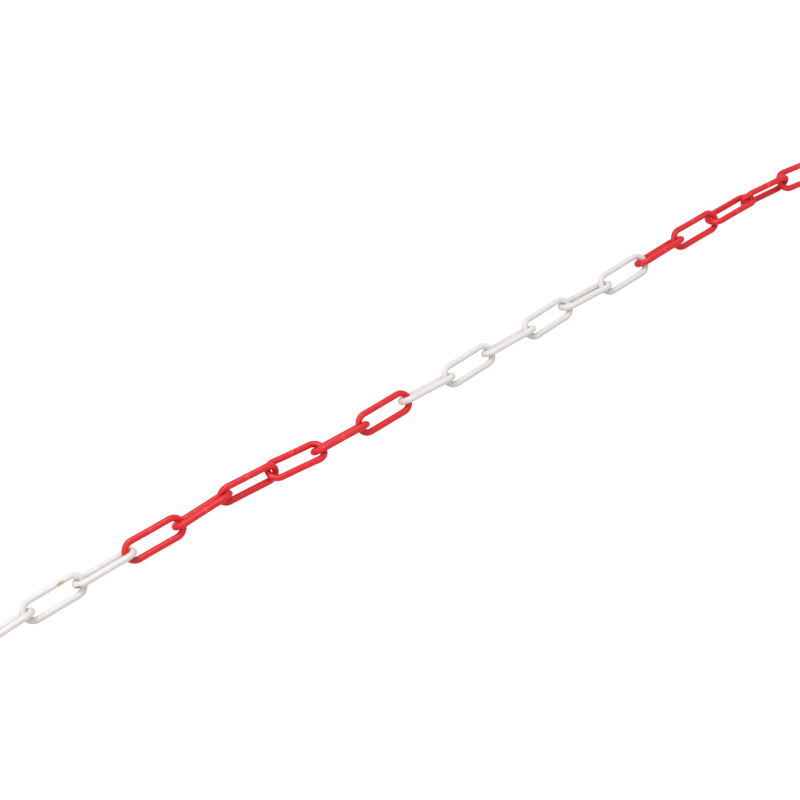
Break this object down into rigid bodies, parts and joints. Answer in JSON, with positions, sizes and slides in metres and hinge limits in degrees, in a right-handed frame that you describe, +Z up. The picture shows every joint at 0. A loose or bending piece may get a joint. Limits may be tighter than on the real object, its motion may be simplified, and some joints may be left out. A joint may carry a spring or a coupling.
{
  "type": "plastic barrier chain",
  "caption": "Plastic barrier chain of round-bar moulded oval links in alternating white and red bands, lying loosely along the ground; every link swings in its neighbour.",
  "frame": {"origin": "on the ground under the middle of the chain's box", "axes": "+X along the chain from its first white link to its last red link, +Z up, +Y to the left of that run"},
  "size_m": [1.1642, 0.0372, 0.0232],
  "materials": {
    "white_plastic": "satin moulded polyethylene, slightly warm white",
    "red_plastic": "satin moulded polyethylene, signal red"
  },
  "bodies": {
    "link_01_white": {"link_01_white": "white_plastic"},
    "link_02_white": {"link_02_white": "white_plastic"},
    "link_03_white": {"link_03_white": "white_plastic"},
    "link_04_white": {"link_04_white": "white_plastic"},
    "link_05_white": {"link_05_white": "white_plastic"},
    "link_06_white": {"link_06_white": "white_plastic"},
    "link_07_red": {"link_07_red": "red_plastic"},
    "link_08_red": {"link_08_red": "red_plastic"},
    "link_09_red": {"link_09_red": "red_plastic"},
    "link_10_red": {"link_10_red": "red_plastic"},
    "link_11_red": {"link_11_red": "red_plastic"},
    "link_12_red": {"link_12_red": "red_plastic"},
    "link_13_white": {"link_13_white": "white_plastic"},
    "link_14_white": {"link_14_white": "white_plastic"},
    "link_15_white": {"link_15_white": "white_plastic"},
    "link_16_white": {"link_16_white": "white_plastic"},
    "link_17_white": {"link_17_white": "white_plastic"},
    "link_18_white": {"link_18_white": "white_plastic"},
    "link_19_red": {"link_19_red": "red_plastic"},
    "link_20_red": {"link_20_red": "red_plastic"},
    "link_21_red": {"link_21_red": "red_plastic"},
    "link_22_red": {"link_22_red": "red_plastic"},
    "link_23_red": {"link_23_red": "red_plastic"},
    "link_24_red": {"link_24_red": "red_plastic"}
  },
  "joints": [
    {"name": "swing_01_in_02", "type": "hinge", "parent": "link_02_white", "child": "link_01_white", "pos_m": [-0.53077, 0.00447, 0.00919], "axis": [0.0073, -0.7071, 0.7071], "range_deg": [-110, 110]},
    {"name": "swing_02_in_03", "type": "hinge", "parent": "link_03_white", "child": "link_02_white", "pos_m": [-0.48247, 0.00447, 0.00919], "axis": [0, -0.7071, -0.7071], "range_deg": [-110, 110]},
    {"name": "swing_03_in_04", "type": "hinge", "parent": "link_04_white", "child": "link_03_white", "pos_m": [-0.43418, 0.00547, 0.00919], "axis": [-0.0146, 0.707, -0.7071], "range_deg": [-110, 110]},
    {"name": "swing_04_in_05", "type": "hinge", "parent": "link_05_white", "child": "link_04_white", "pos_m": [-0.38598, 0.00847, 0.00919], "axis": [-0.0439, 0.7057, 0.7071], "range_deg": [-110, 110]},
    {"name": "swing_05_in_06", "type": "hinge", "parent": "link_06_white", "child": "link_05_white", "pos_m": [-0.33768, 0.00897, 0.00919], "axis": [0.0073, -0.7071, 0.7071], "range_deg": [-110, 110]},
    {"name": "swing_06_in_07", "type": "hinge", "parent": "link_07_red", "child": "link_06_white", "pos_m": [-0.28938, 0.00897, 0.0097], "axis": [0.0082, -0.6428, -0.766], "range_deg": [-110, 110]},
    {"name": "swing_07_in_08", "type": "hinge", "parent": "link_08_red", "child": "link_07_red", "pos_m": [-0.24108, 0.00847, 0.0097], "axis": [0.0079, 0.766, -0.6428], "range_deg": [-110, 110]},
    {"name": "swing_08_in_09", "type": "hinge", "parent": "link_09_red", "child": "link_08_red", "pos_m": [-0.19494, 0.00947, 0.01162], "axis": [-0.0446, 0.7063, 0.7065], "range_deg": [-110, 110]},
    {"name": "swing_09_in_10", "type": "hinge", "parent": "link_10_red", "child": "link_09_red", "pos_m": [-0.14673, 0.00647, 0.01162], "axis": [-0.0612, -0.9829, 0.1736], "range_deg": [-110, 110]},
    {"name": "swing_10_in_11", "type": "hinge", "parent": "link_11_red", "child": "link_10_red", "pos_m": [-0.1007, 0.00297, 0.0097], "axis": [0.0345, -0.09, 0.9953], "range_deg": [-110, 110]},
    {"name": "swing_11_in_12", "type": "hinge", "parent": "link_12_red", "child": "link_11_red", "pos_m": [-0.05242, 0.00147, 0.0097], "axis": [0.0238, 0.7657, 0.6428], "range_deg": [-110, 110]},
    {"name": "swing_13_in_12", "type": "hinge", "parent": "link_12_red", "child": "link_13_white", "pos_m": [0.00257, 0.00197, 0.0097], "axis": [-0.0368, -0.7062, -0.7071], "range_deg": [-110, 110]},
    {"name": "swing_14_in_13", "type": "hinge", "parent": "link_13_white", "child": "link_14_white", "pos_m": [0.05083, -0.00003, 0.00919], "axis": [0.02, -0.6425, 0.766], "range_deg": [-110, 110]},
    {"name": "swing_15_in_14", "type": "hinge", "parent": "link_14_white", "child": "link_15_white", "pos_m": [0.0991, 0.00147, 0.00919], "axis": [0.0146, 0.707, 0.7071], "range_deg": [-110, 110]},
    {"name": "swing_16_in_15", "type": "hinge", "parent": "link_15_white", "child": "link_16_white", "pos_m": [0.14739, 0.00047, 0.00919], "axis": [-0.0554, 0.5712, -0.8189], "range_deg": [-110, 110]},
    {"name": "swing_17_in_16", "type": "hinge", "parent": "link_16_white", "child": "link_17_white", "pos_m": [0.19559, 0.00347, 0.00802], "axis": [-0.0238, -0.5731, -0.8192], "range_deg": [-110, 110]},
    {"name": "swing_18_in_17", "type": "hinge", "parent": "link_17_white", "child": "link_18_white", "pos_m": [0.24385, 0.00147, 0.00802], "axis": [-0.0139, -0.5738, 0.8189], "range_deg": [-110, 110]},
    {"name": "swing_19_in_18", "type": "hinge", "parent": "link_18_white", "child": "link_19_red", "pos_m": [0.29213, 0.00197, 0.00919], "axis": [-0.0222, 0.7068, 0.7071], "range_deg": [-110, 110]},
    {"name": "swing_20_in_19", "type": "hinge", "parent": "link_19_red", "child": "link_20_red", "pos_m": [0.34042, 0.00297, 0.0097], "axis": [0, 0.766, -0.6428], "range_deg": [-110, 110]},
    {"name": "swing_21_in_20", "type": "hinge", "parent": "link_20_red", "child": "link_21_red", "pos_m": [0.38872, 0.00297, 0.0097], "axis": [-0.0266, 0.343, 0.939], "range_deg": [-110, 110]},
    {"name": "swing_22_in_21", "type": "hinge", "parent": "link_21_red", "child": "link_22_red", "pos_m": [0.43695, 0.00147, 0.01162], "axis": [-0.0746, -0.982, -0.1736], "range_deg": [-110, 110]},
    {"name": "swing_23_in_22", "type": "hinge", "parent": "link_22_red", "child": "link_23_red", "pos_m": [0.48302, -0.00203, 0.01162], "axis": [0.0436, 0.4984, -0.8658], "range_deg": [-110, 110]},
    {"name": "swing_24_in_23", "type": "hinge", "parent": "link_23_red", "child": "link_24_red", "pos_m": [0.53094, -0.00803, 0.01058], "axis": [0.0717, 0.8631, 0.5], "range_deg": [-110, 110]}
  ]
}
